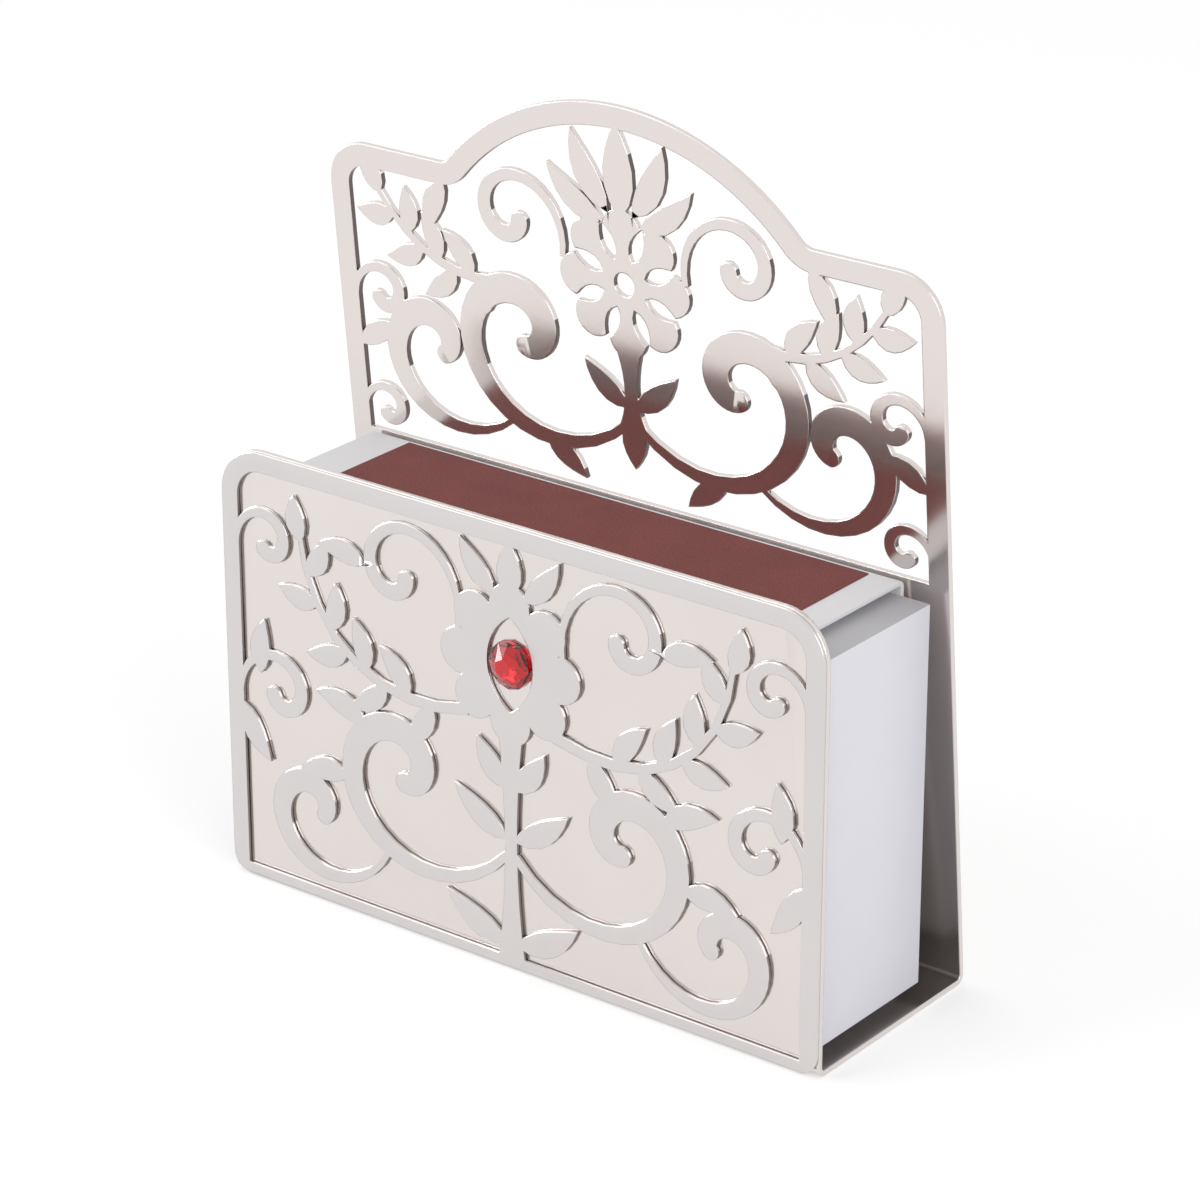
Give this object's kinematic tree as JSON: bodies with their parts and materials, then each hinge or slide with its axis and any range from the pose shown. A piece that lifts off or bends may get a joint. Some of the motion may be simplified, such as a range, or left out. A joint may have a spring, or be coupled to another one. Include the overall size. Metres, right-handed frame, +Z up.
{
  "type": "matchbox holder",
  "caption": "Stand of folded, pierced steel sheet with an overlaid front and a set stone, holding a small matchbox whose sleeve slides out sideways and whose tray slides in the sleeve.",
  "frame": {"origin": "bottom centre of the whole object, on the underside of the folded floor", "axes": "+Z up, the low front panel faces -Y, +X to the right of someone who looks at the front"},
  "size_m": [0.062, 0.0224, 0.0717],
  "materials": {
    "satin_steel": "satin stainless sheet, warm champagne tint",
    "polished_steel": "finely brushed stainless sheet with bright etched edges",
    "bond_film": "clear-grey bonding film",
    "red_glass": "faceted red glass, foiled back",
    "white_card": "white coated card",
    "striking_paint": "brown-red striking compound, fine grit",
    "tray_card": "white-lined grey board",
    "match_wood": "plain aspen splint",
    "match_compound": "brown-red match head"
  },
  "bodies": {
    "holder": {"folded_channel": "satin_steel", "back_plate": "satin_steel", "front_overlay": "polished_steel", "overlay_bond": "bond_film", "stone": "red_glass", "stone_bond": "bond_film"},
    "matchbox": {"sleeve": "white_card", "striker_top": "striking_paint", "striker_bottom": "striking_paint"},
    "drawer": {"tray": "tray_card", "match_sticks": "match_wood", "match_heads": "match_compound"}
  },
  "joints": [
    {"name": "matchbox_slide", "type": "slide", "parent": "holder", "child": "matchbox", "axis": [1, 0, 0], "range_m": [-0.06, 0.06]},
    {"name": "tray_slide", "type": "slide", "parent": "matchbox", "child": "drawer", "axis": [1, 0, 0], "range_m": [-0.058, 0.0515]}
  ]
}
